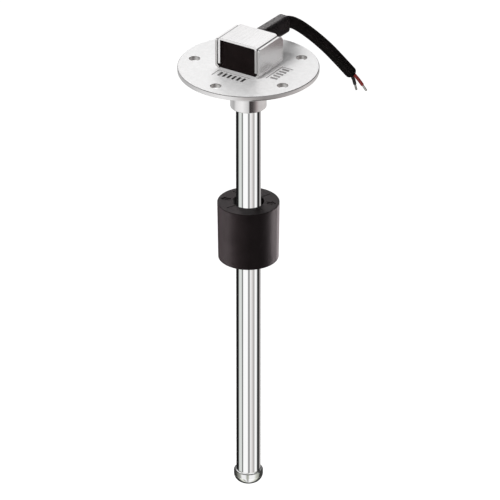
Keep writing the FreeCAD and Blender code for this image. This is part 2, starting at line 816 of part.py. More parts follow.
def make_board():
    """The reed board in the stem, with its reeds, resistors, foot and top seal."""
    lowest = size("insertion_length") - size("cap_height") - size("spigot_length") - size("foot_height")
    spare = lowest - size("first_reed") - size("reed_pitch") / 2
    count = int(spare / size("reed_pitch")) + 1

    board = add_body("reed_board", in_head_frame=True)
    face = add_sketch(board, "board_face", "YZ_Plane")
    add_rectangle(face, "-Sizes.board_width / 2", "Sizes.board_width / 2", BOARD_LOW, BOARD_TOP)
    pad(board, "board_pad", face, "Sizes.board_thickness", both_ways=True)
    slot_sketch = add_sketch(board, "reed_slot_sketch", "YZ_Plane", "-Sizes.board_thickness / 2")
    slot_half = "Sizes.reed_diameter / 2 + Sizes.reed_room"
    slot_high = "Sizes.reed_length / 2 + Sizes.reed_room"
    add_rectangle(
        slot_sketch,
        f"-({slot_half})",
        slot_half,
        f"-Sizes.first_reed - ({slot_high})",
        f"-Sizes.first_reed + {slot_high}",
    )
    slot = pocket(board, "reed_slot", slot_sketch, "Sizes.board_thickness", along_normal=True)
    linear_pattern(board, "reed_slots", slot, "Sizes.reed_pitch", count)

    capsules = []
    wires = []
    resistors = []
    wire_length = "((Sizes.reed_pitch - Sizes.reed_length - Sizes.resistor_length) / 2 - Sizes.solder_gap)"
    for i in range(count):
        middle = f"(-Sizes.first_reed - {i} * Sizes.reed_pitch)"
        low_end = f"{middle} - Sizes.reed_length / 2"
        high_end = f"{middle} + Sizes.reed_length / 2"
        capsules.append(
            add_cylinder(f"capsule_{i}", "Sizes.reed_diameter", "Sizes.reed_length", REED_CENTRE, low_end)
        )
        for end, foot in (("low", f"{low_end} - {wire_length}"), ("high", high_end)):
            wires.append(add_cylinder(f"reed_wire_{i}_{end}", "Sizes.reed_wire", wire_length, REED_CENTRE, foot))
        if i < count - 1:
            chip = doc.addObject("Part::Box", f"resistor_{i}")
            chip.setExpression("Length", "Sizes.resistor_height")
            chip.setExpression("Width", "Sizes.resistor_width")
            chip.setExpression("Height", "Sizes.resistor_length")
            chip.setExpression("Placement.Base.x", "Sizes.board_thickness / 2 + Sizes.wire_gap")
            chip.setExpression("Placement.Base.y", "-Sizes.resistor_width / 2")
            chip.setExpression(
                "Placement.Base.z", f"{middle} - Sizes.reed_pitch / 2 - Sizes.resistor_length / 2"
            )
            resistors.append(chip)
    add_group("reed_capsules", capsules)
    add_group("reed_wires", wires)
    add_group("ladder_resistors", resistors)

    bore = f"{STEM_BORE} - 2 * Sizes.board_fit"
    slit_half = "Sizes.board_thickness / 2 + Sizes.board_fit"
    slit_wide = "Sizes.board_width / 2 + Sizes.board_fit"
    foot = add_body("board_foot", in_head_frame=True)
    foot_ring = add_sketch(foot, "foot_sketch", "XY_Plane", FOOT_LOW)
    add_circle(foot_ring, bore)
    pad(foot, "foot_pad", foot_ring, "Sizes.foot_height")
    foot_slit = add_sketch(foot, "foot_slit_sketch", "XY_Plane", f"{FOOT_LOW} + Sizes.foot_height")
    add_rectangle(foot_slit, f"-({slit_half})", slit_half, f"-({slit_wide})", slit_wide)
    pocket(foot, "foot_slit", foot_slit, "Sizes.foot_slot")

    seal = add_body("board_seal", in_head_frame=True)
    seal_ring = add_sketch(seal, "seal_sketch", "XY_Plane", "-Sizes.seal_depth")
    add_circle(seal_ring, bore)
    seal_pad = pad(seal, "seal_pad", seal_ring, "Sizes.seal_length")
    seal_pad.Reversed = True
    seal_slit = add_sketch(seal, "seal_slit_sketch", "XY_Plane", "-Sizes.seal_depth")
    add_rectangle(seal_slit, f"-({slit_half})", slit_half, f"-({slit_wide})", slit_wide)
    pocket(seal, "seal_slit", seal_slit)


def write_parts():
    """Tests every object of the document, then writes each sub-part's file."""
    doc.recompute()
    for item in doc.Objects:
        if "Invalid" in item.State or "Error" in item.State:
            raise RuntimeError(f"{item.Label} failed: {item.State}")
    for part in subparts:
        if part.Shape.isNull() or not part.Shape.isValid():
            raise RuntimeError(f"{part.Label} has no valid shape")
    os.makedirs("parts", exist_ok=True)
    for part in subparts:
        part.Shape.exportStep(f"parts/{part.Label}.step")
        solids = len(part.Shape.Solids)
        print(part.Label, "solids", solids, "volume", round(part.Shape.Volume, 2))


make_flange()
make_stem()
make_end_cap()
make_float()
make_head()
make_wires()
make_cable()
make_board()
write_parts()
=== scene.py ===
import math

import bmesh
import bpy
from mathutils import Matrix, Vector


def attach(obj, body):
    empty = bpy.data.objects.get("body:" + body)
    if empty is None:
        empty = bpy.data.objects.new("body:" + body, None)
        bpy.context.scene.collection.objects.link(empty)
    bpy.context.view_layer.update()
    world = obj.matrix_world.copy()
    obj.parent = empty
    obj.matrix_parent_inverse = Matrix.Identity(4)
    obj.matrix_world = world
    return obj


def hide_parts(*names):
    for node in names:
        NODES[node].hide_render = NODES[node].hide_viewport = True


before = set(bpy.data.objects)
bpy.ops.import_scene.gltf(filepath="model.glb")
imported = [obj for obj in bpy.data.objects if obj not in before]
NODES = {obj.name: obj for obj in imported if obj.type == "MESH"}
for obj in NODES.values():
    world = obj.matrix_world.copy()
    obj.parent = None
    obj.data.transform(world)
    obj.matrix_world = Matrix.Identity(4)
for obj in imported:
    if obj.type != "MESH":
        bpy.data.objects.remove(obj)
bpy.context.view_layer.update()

MM = 0.001

# The part's sizes, as its solids have them, with the gap between pieces that fit into each other
FIT = 0.05 * MM

# Stem and cap
STEM_R = 6.0 * MM
STEM_BORE_R = STEM_R - 1.0 * MM
STEM_TOP = 1.05 * MM
CAP_R = 7.25 * MM
CAP_LOW = -227.0 * MM
CAP_TOP = CAP_LOW + 6.9 * MM
CAP_ROUND = 4.4 * MM
CAP_TOP_ROUND = 0.8 * MM
SPIGOT_R = STEM_BORE_R - FIT
SPIGOT_TOP = CAP_TOP + 6.0 * MM
SPIGOT_ROUND = 0.3 * MM

# Flange and neck
FLANGE_R = 34.0 * MM
FLANGE_TOP = 2.3 * MM
FLANGE_TOP_ROUND = 0.45 * MM
FLANGE_LOW_ROUND = 0.15 * MM
RIM_BAND = 0.6 * MM
NECK_R = 8.8 * MM
NECK_LOW = -19.0 * MM
NECK_ROOT_ROUND = 0.8 * MM
NECK_END_ROUND = 0.3 * MM
SOCKET_R = STEM_R + FIT
SOCKET_TOP = STEM_TOP + FIT
WIRE_HOLE_R = 3.5 * MM
BOLT_R = 27.0 * MM
BOLT_HOLE_R = 2.75 * MM
BOLT_COUNT = 5
BOLT_START = math.radians(19.0)

# The plain panels in the flange's top, with raised bars
PANEL_DEPTH = 0.3 * MM
PANEL_WIDTH = 6.4 * MM
BAR_WIDE = 1.0 * MM
BAR_LONG = 3.6 * MM
BAR_PITCH = 2.6 * MM

# Float, with the pocket for its magnet in its underside
FLOAT_R = 15.15 * MM
FLOAT_LOW_R = FLOAT_R - 0.4 * MM
FLOAT_TOP = -70.55 * MM
FLOAT_LOW = FLOAT_TOP - 30.2 * MM
FLOAT_ROUND = 0.4 * MM
FLOAT_BORE_R = STEM_R + 0.4 * MM
MOUTH_R = 7.6 * MM
MOUTH_DEPTH = 4.0 * MM
MOUTH_ROUND = 0.2 * MM
POCKET_IN_R = 8.6 * MM
POCKET_OUT_R = 12.4 * MM
POCKET_TOP = FLOAT_LOW + 10.2 * MM
GROOVE_DEPTH = 0.35 * MM
GROOVE_ANGLE = 35.0
ARROW_DEPTH = 0.6 * MM
ARROW_ANGLE = 168.0
RIB_START = 9.3 * MM
RIB_END = 11.6 * MM
RIB_HALF = 0.3 * MM
RIB_BELOW = 0.1 * MM

# Head: two folded channels, the potting between them, and the boot behind
HEAD_YAW = math.radians(-33.0)
HEAD_FRONT = -9.8 * MM
SHEET = 1.2 * MM
HEAD_FLOOR = FLANGE_TOP + SHEET
BASE_BACK = 11.0 * MM
BASE_HALF = 12.6 * MM
BASE_TOP = FLANGE_TOP + 15.1 * MM
BASE_BEND = 2.2 * MM
BASE_FRONT_ROUND = 1.5 * MM
BASE_BACK_ROUND = 3.5 * MM
NOTCH_HALF = BASE_HALF - BASE_BEND
NOTCH_BACK = HEAD_FRONT + 3.0 * MM
COVER_BACK = HEAD_FRONT + 18.4 * MM
COVER_HALF = BASE_HALF - SHEET - 0.4 * MM
COVER_TOP = BASE_TOP + 1.0 * MM
COVER_BEND = 1.6 * MM
LEDGE = HEAD_FLOOR + 1.2 * MM
POTTING_FRONT = HEAD_FRONT + 1.0 * MM
POTTING_TOP = COVER_TOP - SHEET
BOOT_AXIS = 12.4 * MM
BOOT_HALF = 3.5 * MM
BOOT_START = 2.6 * MM
BOOT_END = 31.5 * MM
BOOT_ROUND = 1.6 * MM
BOOT_BORE_R = 2.1 * MM
SHAFT_OVERLAP = 0.1 * MM
TONGUE_OVERLAP = 0.2 * MM
SLEEVE_START = COVER_BACK + FIT
SLEEVE_LOW = 8.3 * MM
SLEEVE_TOP = 17.5 * MM
SLEEVE_DROOP = 0.65 * MM
SLEEVE_ROUND = 2.5 * MM
SLEEVE_END_ROUND = 0.4 * MM

# Widths of the fine breaks along edges
CAST_BREAK = 0.12 * MM
FLOAT_BREAK = 0.1 * MM
SHEET_BREAK = 0.18 * MM
POTTING_BREAK = 0.15 * MM

# The cable's route from the boot's end, in the head's frame: out of the head, and up
CABLE_ROUTE = [
    (0.0, 0.0),
    (1.4, 0.0),
    (3.8, -0.9),
    (7.4, -2.6),
    (13.2, -6.5),
    (21.0, -12.7),
    (30.2, -20.6),
    (40.2, -29.8),
    (50.4, -40.1),
    (61.2, -51.3),
]
CABLE_D = 5.9 * MM


def head_point(across, out, up):
    """A point of the head's own frame in the part's frame."""
    c, s = math.cos(HEAD_YAW), math.sin(HEAD_YAW)
    return Vector((across * c - out * s, across * s + out * c, up))


HEAD_ACROSS = head_point(1.0, 0.0, 0.0)
HEAD_OUT = head_point(0.0, 1.0, 0.0)


# Drawing and shaping


def select_only(obj):
    """Makes one object the selected and the active one."""
    bpy.ops.object.select_all(action="DESELECT")
    obj.select_set(True)
    bpy.context.view_layer.objects.active = obj


def edit(obj):
    """Opens one object in edit mode, alone."""
    select_only(obj)
    bpy.ops.object.mode_set(mode="EDIT")


def close_edit():
    bpy.ops.object.mode_set(mode="OBJECT")


def keep_place():
    """Moves the active object's place, turn and size into its mesh."""
    bpy.ops.object.transform_apply(location=True, rotation=True, scale=True)


def draw_chain(points):
    """Draws edges through points, in a new mesh that stays in edit mode."""
    bpy.ops.object.select_all(action="DESELECT")
    bpy.ops.mesh.primitive_plane_add(size=MM)
    obj = bpy.context.object
    bpy.ops.object.mode_set(mode="EDIT")
    bpy.ops.mesh.select_mode(type="VERT")
    bpy.ops.mesh.select_all(action="SELECT")
    bpy.ops.mesh.merge(type="CENTER")
    bpy.ops.transform.translate(value=points[0])
    for here, after in zip(points, points[1:]):
        step = [b - a for a, b in zip(here, after)]
        bpy.ops.mesh.extrude_vertices_move(TRANSFORM_OT_translate={"value": step})
    return obj


def turned(section, steps=144):
    """Spins a closed half section of radius and height pairs about Z, and stays in edit mode."""
    points = [(r, 0.0, z) for r, z in section]
    obj = draw_chain(points + points[:1])
    bpy.ops.mesh.select_all(action="SELECT")
    bpy.ops.mesh.spin(steps=steps, angle=math.tau, center=(0, 0, 0), axis=(0, 0, 1))
    bpy.ops.mesh.select_all(action="SELECT")
    bpy.ops.mesh.remove_doubles(threshold=0.002 * MM)
    bpy.ops.mesh.normals_make_consistent(inside=False)
    return obj


def prism(outline, depth):
    """Fills an outline and pulls it out along a vector, and stays in edit mode."""
    obj = draw_chain(outline)
    bpy.ops.mesh.select_all(action="SELECT")
    bpy.ops.mesh.edge_face_add()
    bpy.ops.mesh.extrude_region_move(TRANSFORM_OT_translate={"value": depth})
    bpy.ops.mesh.select_all(action="SELECT")
    bpy.ops.mesh.normals_make_consistent(inside=False)
    return obj


def open_block(low, high):
    """A box between two corners that stays in edit mode."""
    bpy.ops.object.select_all(action="DESELECT")
    size = [b - a for a, b in zip(low, high)]
    middle = [(a + b) / 2 for a, b in zip(low, high)]
    bpy.ops.mesh.primitive_cube_add(size=1.0, location=middle, scale=size)
    obj = bpy.context.object
    keep_place()
    bpy.ops.object.mode_set(mode="EDIT")
    return obj


def block(low, high):
    """A finished box between two corners."""
    obj = open_block(low, high)
    close_edit()
    return obj


def drill(radius, depth, place, rotation=(0.0, 0.0, 0.0)):
    """A round cutter about a place."""
    bpy.ops.object.select_all(action="DESELECT")
    bpy.ops.mesh.primitive_cylinder_add(
        vertices=48, radius=radius, depth=depth, location=place, rotation=rotation
    )
    obj = bpy.context.object
    keep_place()
    return obj


def pick(obj, kind, parts, test):
    """Selects the open mesh's corners, edges or faces that a test chooses."""
    bpy.ops.mesh.select_mode(type=kind)
    bpy.ops.mesh.select_all(action="DESELECT")
    mesh = bmesh.from_edit_mesh(obj.data)
    mesh.normal_update()
    for part in getattr(mesh, parts):
        part.select_set(bool(test(part)))
    bmesh.update_edit_mesh(obj.data)


def pick_corners(obj, test):
    """Selects the corners that a test of their place chooses."""
    pick(obj, "VERT", "verts", lambda vert: test(vert.co))


def pick_edges(obj, test):
    """Selects the edges that a test of their two ends chooses."""
    pick(obj, "EDGE", "edges", lambda edge: test(edge.verts[0].co, edge.verts[1].co))


def pick_faces(obj, test):
    """Selects the faces that a test of centre and normal chooses."""
    pick(obj, "FACE", "faces", lambda face: test(face.calc_center_median(), face.normal))


def same(a, b):
    return abs(a - b) < 0.01 * MM


def round_edges(obj, size, segments, test):
    """Rounds the edges that a test of their two ends chooses."""
    pick_edges(obj, test)
    bpy.ops.mesh.bevel(offset=size, segments=segments, affect="EDGES", clamp_overlap=True)


def round_ring(obj, radius, height, size, segments=5):
    """Rounds the circle of a turned piece at a radius and height."""

    def on_ring(a, b):
        level = same(a.z, height) and same(b.z, height)
        return level and same(math.hypot(a.x, a.y), radius) and same(math.hypot(b.x, b.y), radius)

    round_edges(obj, size, segments, on_ring)


def runs_out(a, b):
    """Whether an edge runs straight along the head's outward axis."""
    step = b - a
    return abs(step.y) > 0.999 * step.length


def apply_modifier(obj, kind, **settings):
    """Adds a modifier with its settings and applies it."""
    select_only(obj)
    modifier = obj.modifiers.new(kind.lower(), kind)
    for name, value in settings.items():
        setattr(modifier, name, value)
    bpy.ops.object.modifier_apply(modifier=modifier.name)


def break_edges(obj, width, segments=2):
    """Takes the sharpness off a finished piece's edges."""
    steep = math.radians(50)
    apply_modifier(obj, "BEVEL", width=width, segments=segments, limit_method="ANGLE", angle_limit=steep)


def thicken(obj):
    """Gives a folded surface the sheet's thickness, inwards."""
    apply_modifier(obj, "SOLIDIFY", thickness=SHEET, offset=-1.0, use_even_offset=True)


def join(objects):
    bpy.ops.object.select_all(action="DESELECT")
    for obj in objects:
        obj.select_set(True)
    bpy.context.view_layer.objects.active = objects[0]
    bpy.ops.object.join()
    return objects[0]


def carve(obj, cutter, operation="DIFFERENCE"):
    """Cuts a closed shape out of a piece, or adds it, and removes the cutter."""
    apply_modifier(obj, "BOOLEAN", object=cutter, operation=operation, solver="EXACT")
    bpy.data.objects.remove(cutter)


def turn(obj, angle):
    """Turns a piece about Z, in its mesh."""
    obj.rotation_euler.z = angle
    select_only(obj)
    keep_place()


def settle(obj, name, body, material, node):
    """Names a finished piece, smooths it, and seats it on its body in place of a node."""
    obj.name = name
    obj.data.name = name
    select_only(obj)
    bpy.ops.object.shade_smooth_by_angle(angle=math.radians(32.0))
    apply_modifier(obj, "WEIGHTED_NORMAL", keep_sharp=True, weight=60)
    obj.data.materials.clear()
    obj.data.materials.append(material)
    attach(obj, body)
    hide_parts(node)


def second_finish(obj, material, test):
    """Gives the faces that a test of centre and normal chooses a finish of their own."""
    obj.data.materials.append(material)
    edit(obj)
    pick_faces(obj, test)
    obj.active_material_index = len(obj.data.materials) - 1
    bpy.ops.object.material_slot_assign()
    close_edit()


# Finishes


def new_group(name, inputs, outputs):
    """An empty shader node group with named sockets."""
    group = bpy.data.node_groups.new(name, "ShaderNodeTree")
    for label, kind, default in inputs:
        socket = group.interface.new_socket(name=label, in_out="INPUT", socket_type=kind)
        socket.default_value = default
    for label, kind in outputs:
        group.interface.new_socket(name=label, in_out="OUTPUT", socket_type=kind)
    return group


def feed(tree, socket, given):
    """Gives a socket a number, or links another socket to it."""
    if isinstance(given, (int, float)):
        socket.default_value = given
    else:
        tree.links.new(given, socket)


def math_node(tree, operation, *given):
    node = tree.nodes.new("ShaderNodeMath")
    node.operation = operation
    for socket, value in zip(node.inputs, given):
        feed(tree, socket, value)
    return node.outputs[0]


def noise_node(tree, vector, scale, detail):
    node = tree.nodes.new("ShaderNodeTexNoise")
    node.inputs["Detail"].default_value = detail
    node.inputs["Roughness"].default_value = 0.55
    tree.links.new(scale, node.inputs["Scale"])
    tree.links.new(vector, node.inputs["Vector"])
    return node.outputs["Fac"]


def map_range(tree, value, low, high, to_low=0.0, to_high=1.0):
    node = tree.nodes.new("ShaderNodeMapRange")
    labels = ("Value", "From Min", "From Max", "To Min", "To Max")
    for label, given in zip(labels, (value, low, high, to_low, to_high)):
        feed(tree, node.inputs[label], given)
    return node.outputs["Result"]


def mix_colours(tree, factor, first, second):
    node = tree.nodes.new("ShaderNodeMix")
    node.data_type = "RGBA"
    tree.links.new(factor, node.inputs["Factor"])
    tree.links.new(first, node.inputs[6])
    tree.links.new(second, node.inputs[7])
    return node.outputs[2]


def principled(material):
    return material.node_tree.nodes["Principled BSDF"]


def make_mottle():
    """Uneven colour and roughness over a surface, with a fine grain for its relief."""
    group = new_group(
        "mottle",
        [
            ("Stretch", "NodeSocketVector", (1.0, 1.0, 1.0)),
            ("Turn", "NodeSocketFloat", 0.0),
            ("Patch Scale", "NodeSocketFloat", 120.0),
            ("Grain Scale", "NodeSocketFloat", 1500.0),
            ("Dark", "NodeSocketColor", (0.1, 0.1, 0.1, 1.0)),
            ("Light", "NodeSocketColor", (0.2, 0.2, 0.2, 1.0)),
            ("Smooth", "NodeSocketFloat", 0.3),
            ("Rough", "NodeSocketFloat", 0.5),
        ],
        [("Color", "NodeSocketColor"), ("Roughness", "NodeSocketFloat"), ("Height", "NodeSocketFloat")],
    )
    given = group.nodes.new("NodeGroupInput").outputs
    out = group.nodes.new("NodeGroupOutput").inputs
    place = group.nodes.new("ShaderNodeTexCoord")
    swing = group.nodes.new("ShaderNodeVectorRotate")
    swing.rotation_type = "Z_AXIS"
    group.links.new(place.outputs["Object"], swing.inputs["Vector"])
    group.links.new(given["Turn"], swing.inputs["Angle"])
    stretch = group.nodes.new("ShaderNodeVectorMath")
    stretch.operation = "MULTIPLY"
    group.links.new(swing.outputs["Vector"], stretch.inputs[0])
    group.links.new(given["Stretch"], stretch.inputs[1])
    vector = stretch.outputs["Vector"]
    patch = noise_node(group, vector, given["Patch Scale"], 4.0)
    grain = noise_node(group, vector, given["Grain Scale"], 2.0)
    patch_share = math_node(group, "MULTIPLY", map_range(group, patch, 0.3, 0.7), 0.65)
    both = math_node(group, "MULTIPLY_ADD", map_range(group, grain, 0.3, 0.7), 0.35, patch_share)
    rough = map_range(group, both, 0.0, 1.0, given["Smooth"], given["Rough"])
    group.links.new(mix_colours(group, both, given["Dark"], given["Light"]), out["Color"])
    group.links.new(rough, out["Roughness"])
    group.links.new(grain, out["Height"])
    return group


MOTTLE = make_mottle()


def finish(name, dark, light, smooth, rough, relief, metal=0.0, patch=120.0, grain=1500.0,
           stretch=(1.0, 1.0, 1.0), swing=0.0, specular=0.5, tint=(1.0, 1.0, 1.0)):
    """A material whose colour, roughness and relief, in millimetres, all vary over the surface."""
    material = bpy.data.materials.new(name)
    material.use_nodes = True
    tree = material.node_tree
    shader = principled(material)
    uneven = tree.nodes.new("ShaderNodeGroup")
    uneven.node_tree = MOTTLE
    for label, value in (
        ("Stretch", stretch),
        ("Turn", swing),
        ("Patch Scale", patch),
        ("Grain Scale", grain),
        ("Dark", (*dark, 1.0)),
        ("Light", (*light, 1.0)),
        ("Smooth", smooth),
        ("Rough", rough),
    ):
        uneven.inputs[label].default_value = value
    tree.links.new(uneven.outputs["Color"], shader.inputs["Base Color"])
    tree.links.new(uneven.outputs["Roughness"], shader.inputs["Roughness"])
    bump = tree.nodes.new("ShaderNodeBump")
    bump.inputs["Strength"].default_value = 1.0
    bump.inputs["Distance"].default_value = relief * MM
    tree.links.new(uneven.outputs["Height"], bump.inputs["Height"])
    tree.links.new(bump.outputs["Normal"], shader.inputs["Normal"])
    shader.inputs["Metallic"].default_value = metal
    shader.inputs["Specular IOR Level"].default_value = specular
    shader.inputs["Specular Tint"].default_value = (*tint, 1.0)
    return material


UMBER = (1.0, 0.8, 0.82)
CAST = finish(
    "cast_steel", (0.85, 0.845, 0.845), (0.98, 0.975, 0.975), 0.37, 0.49, 0.014,
    metal=0.4, patch=420.0, grain=1400.0,
)
TURNED = finish(
    "turned_steel", (0.74, 0.73, 0.73), (0.84, 0.83, 0.83), 0.03, 0.06, 0.0003,
    metal=1.0, patch=80.0, grain=2400.0, stretch=(1.0, 1.0, 6.0),
)
# Dark steel that paints shade in the panels' walls, the wire hole and the seam between lid and base, a dark
# reflection line along the rim's top rounding, and the dark tops of the panels' bars
DARK_SHADE_STEEL = finish(
    "dark_steel_painted_shade", (0.3, 0.29, 0.29), (0.42, 0.41, 0.41), 0.3, 0.42, 0.004,
    metal=1.0, patch=200.0, grain=2400.0,
)
# Darker cut steel for the sheet's front edges and the screw holes' walls; in the holes its darkness also
# paints their shade
CUT_STEEL_AND_SHADE = finish(
    "cut_steel_and_painted_shade", (0.5, 0.49, 0.485), (0.62, 0.61, 0.6), 0.28, 0.4, 0.001,
    metal=1.0, patch=200.0, grain=2400.0,
)
POLISHED = finish(
    "polished_steel", (0.86, 0.86, 0.86), (0.92, 0.92, 0.92), 0.015, 0.04, 0.00005,
    metal=1.0, patch=60.0, grain=900.0, stretch=(1.0, 1.0, 0.05),
)
BRUSHED = finish(
    "brushed_sheet", (0.8, 0.79, 0.79), (0.97, 0.96, 0.96), 0.22, 0.3, 0.003,
    metal=1.0, patch=140.0, grain=1800.0, stretch=(1.0, 0.06, 1.0), swing=-HEAD_YAW,
)
POTTING = finish(
    "potting", (0.003, 0.002, 0.002), (0.007, 0.0045, 0.0045), 0.4, 0.58, 0.01,
    patch=150.0, grain=900.0, specular=0.06, tint=UMBER,
)
BOOT = finish(
    "boot_rubber", (0.004, 0.0032, 0.0035), (0.009, 0.0075, 0.008), 0.25, 0.31, 0.002,
    patch=130.0, grain=2200.0, specular=0.8, tint=(1.0, 0.88, 0.89),
)
principled(BOOT).inputs["Coat Weight"].default_value = 0.4
principled(BOOT).inputs["Coat Roughness"].default_value = 0.22
SHEATH = finish(
    "cable_sheath", (0.004, 0.0032, 0.003), (0.01, 0.0085, 0.008), 0.44, 0.58, 0.004,
    patch=110.0, grain=1900.0, specular=0.08, tint=UMBER,
)
FLOAT = finish(
    "float_moulding", (0.003, 0.002, 0.002), (0.007, 0.005, 0.0055), 0.34, 0.48, 0.006,
    patch=110.0, grain=1700.0, specular=0.08, tint=(1.0, 0.88, 0.9),
)
RED_CORE = finish("signal_core", (0.3, 0.01, 0.008), (0.4, 0.018, 0.014), 0.35, 0.48, 0.004)
BLACK_CORE = finish("ground_core", (0.01, 0.01, 0.011), (0.022, 0.022, 0.024), 0.35, 0.48, 0.004)
TINNED = finish(
    "tinned_wire", (0.6, 0.6, 0.58), (0.78, 0.78, 0.76), 0.22, 0.4, 0.02,
    metal=1.0, patch=300.0, grain=2600.0,
)
BOARD = finish(
    "board_laminate", (0.012, 0.09, 0.035), (0.025, 0.16, 0.06), 0.3, 0.45, 0.01,
    patch=260.0, grain=2400.0,
)
CHIP = finish(
    "resistor_body", (0.012, 0.012, 0.013), (0.03, 0.03, 0.032), 0.25, 0.4, 0.005,
    patch=400.0, grain=2600.0,
)
NATURAL = finish("natural_moulding", (0.48, 0.47, 0.43), (0.6, 0.59, 0.55), 0.4, 0.55, 0.01)
SEAL = finish("seal_rubber", (0.02, 0.02, 0.02), (0.04, 0.04, 0.04), 0.5, 0.7, 0.015)
FERRITE = finish("ferrite", (0.035, 0.035, 0.037), (0.065, 0.065, 0.068), 0.45, 0.65, 0.015, metal=0.3)
GLASS = finish("reed_glass", (0.5, 0.66, 0.58), (0.6, 0.74, 0.66), 0.04, 0.1, 0.002)
principled(GLASS).inputs["Transmission Weight"].default_value = 0.85


# Flange

# The panels: centre in the head's frame, length, whether the length runs across, and how many bars
PANELS = [
    ((0.0, -14.6 * MM), 19.0 * MM, True, 6),
    ((17.4 * MM, 0.6 * MM), 14.5 * MM, False, 5),
]


def bar_places(centre, across, count):
    """The middles of the bars that stay standing in a panel."""
    steps = [(i - (count - 1) / 2) * BAR_PITCH for i in range(count)]
    x, y = centre
    return [(x + step, y) if across else (x, y + step) for step in steps]


def bar_size(across):
    return (BAR_WIDE, BAR_LONG) if across else (BAR_LONG, BAR_WIDE)


def plate(centre, size, low, high):
    """A box between two heights, about a place in the head's frame."""
    x, y = centre
    half_x, half_y = size[0] / 2, size[1] / 2
    return block((x - half_x, y - half_y, low), (x + half_x, y + half_y, high))


def panel_cutter(centre, length, across, count):
    """A shallow plate in the flange's top, less the bars that stay standing in it."""
    low, high = FLANGE_TOP - PANEL_DEPTH, FLANGE_TOP + PANEL_DEPTH
    size = (length, PANEL_WIDTH) if across else (PANEL_WIDTH, length)
    cutter = plate(centre, size, low, high)
    places = bar_places(centre, across, count)
    carve(cutter, join([plate(place, bar_size(across), low - MM, high + MM) for place in places]))
    turn(cutter, HEAD_YAW)
    return cutter


def screw_drill(number):
    """The cutter for one of the screw holes."""
    angle = BOLT_START + math.tau * number / BOLT_COUNT
    place = (BOLT_R * math.cos(angle), BOLT_R * math.sin(angle), FLANGE_TOP / 2)
    return drill(BOLT_HOLE_R, 3 * FLANGE_TOP, place)


BARS = [
    (place, bar_size(across))
    for centre, length, across, count in PANELS
    for place in bar_places(centre, across, count)
]


def on_bar(centre):
    """Whether a place is on the top of a bar."""
    x, y = centre.dot(HEAD_ACROSS), centre.dot(HEAD_OUT)
    over = any(
        abs(x - mid_x) < wide / 2 and abs(y - mid_y) < tall / 2
        for (mid_x, mid_y), (wide, tall) in BARS
    )
    return over and centre.z > FLANGE_TOP - 0.5 * PANEL_DEPTH


# How far up a face's normal points, at most, where the face is upright or not quite level
UPRIGHT = 0.6
NEARLY_FLAT = 0.96


def is_turned(centre, normal):
    """The neck and the flange's rim."""
    on_rim = centre.xy.length > FLANGE_R - RIM_BAND and abs(normal.z) < NEARLY_FLAT
    return centre.z < -MM or on_rim


def is_painted_dark(centre, normal):
    """Faces painted dark: painted shade on the panels' walls and in the wire hole, a painted dark
    reflection line on the rounding along the rim's top, and the bars' tops.
    """
    inside = centre.xy.length < BOLT_R - BOLT_HOLE_R - MM
    upright = abs(normal.z) < UPRIGHT and centre.z > 0.0 and inside
    rim_top = centre.xy.length > FLANGE_R - RIM_BAND and 0.3 < normal.z < NEARLY_FLAT
    return upright or on_bar(centre) or rim_top


def is_drilled(centre, normal):
    """The walls of the screw holes, given the darker cut steel, which also paints the shade inside the
    holes.
    """
    in_circle = abs(centre.xy.length - BOLT_R) < BOLT_HOLE_R + CAST_BREAK
    return in_circle and abs(normal.z) < UPRIGHT and centre.z > 0.0


def make_flange():
    """The cast flange and its neck, with screw holes and two plain panels."""
    obj = turned(
        [
            (WIRE_HOLE_R, FLANGE_TOP),
            (WIRE_HOLE_R, SOCKET_TOP),
            (SOCKET_R, SOCKET_TOP),
            (SOCKET_R, NECK_LOW),
            (NECK_R, NECK_LOW),
            (NECK_R, 0.0),
            (FLANGE_R, 0.0),
            (FLANGE_R, FLANGE_TOP),
        ]
    )
    round_ring(obj, FLANGE_R, FLANGE_TOP, FLANGE_TOP_ROUND)
    round_ring(obj, FLANGE_R, 0.0, FLANGE_LOW_ROUND, 3)
    round_ring(obj, NECK_R, 0.0, NECK_ROOT_ROUND)
    round_ring(obj, NECK_R, NECK_LOW, NECK_END_ROUND, 3)
    close_edit()
    carve(obj, join([screw_drill(i) for i in range(BOLT_COUNT)]))
    for panel in PANELS:
        carve(obj, panel_cutter(*panel))
    break_edges(obj, CAST_BREAK)
    settle(obj, "flange_casting", "sender", CAST, "flange")
    second_finish(obj, TURNED, is_turned)
    # Dark steel paints shade in the panels and the wire hole, and a dark reflection line along the rim's
    # top.
    second_finish(obj, DARK_SHADE_STEEL, is_painted_dark)
    # The screw holes' walls take darker cut steel, which also paints the shade inside the holes.
    second_finish(obj, CUT_STEEL_AND_SHADE, is_drilled)


# Stem and cap


def make_stem():
    obj = turned(
        [
            (STEM_BORE_R, STEM_TOP),
            (STEM_BORE_R, CAP_TOP),
            (STEM_R, CAP_TOP),
            (STEM_R, STEM_TOP),
        ],
        steps=192,
    )
    close_edit()
    settle(obj, "polished_stem", "sender", POLISHED, "stem_tube")


def make_cap():
    obj = turned(
        [
            (0.0, CAP_LOW),
            (CAP_R, CAP_LOW),
            (CAP_R, CAP_TOP),
            (SPIGOT_R, CAP_TOP),
            (SPIGOT_R, SPIGOT_TOP),
            (0.0, SPIGOT_TOP),
        ],
        steps=192,
    )
    round_ring(obj, CAP_R, CAP_LOW, CAP_ROUND, 20)
    round_ring(obj, CAP_R, CAP_TOP, CAP_TOP_ROUND, 8)
    round_ring(obj, SPIGOT_R, SPIGOT_TOP, SPIGOT_ROUND, 3)
    close_edit()
    settle(obj, "polished_cap", "sender", POLISHED, "end_cap")


# Float

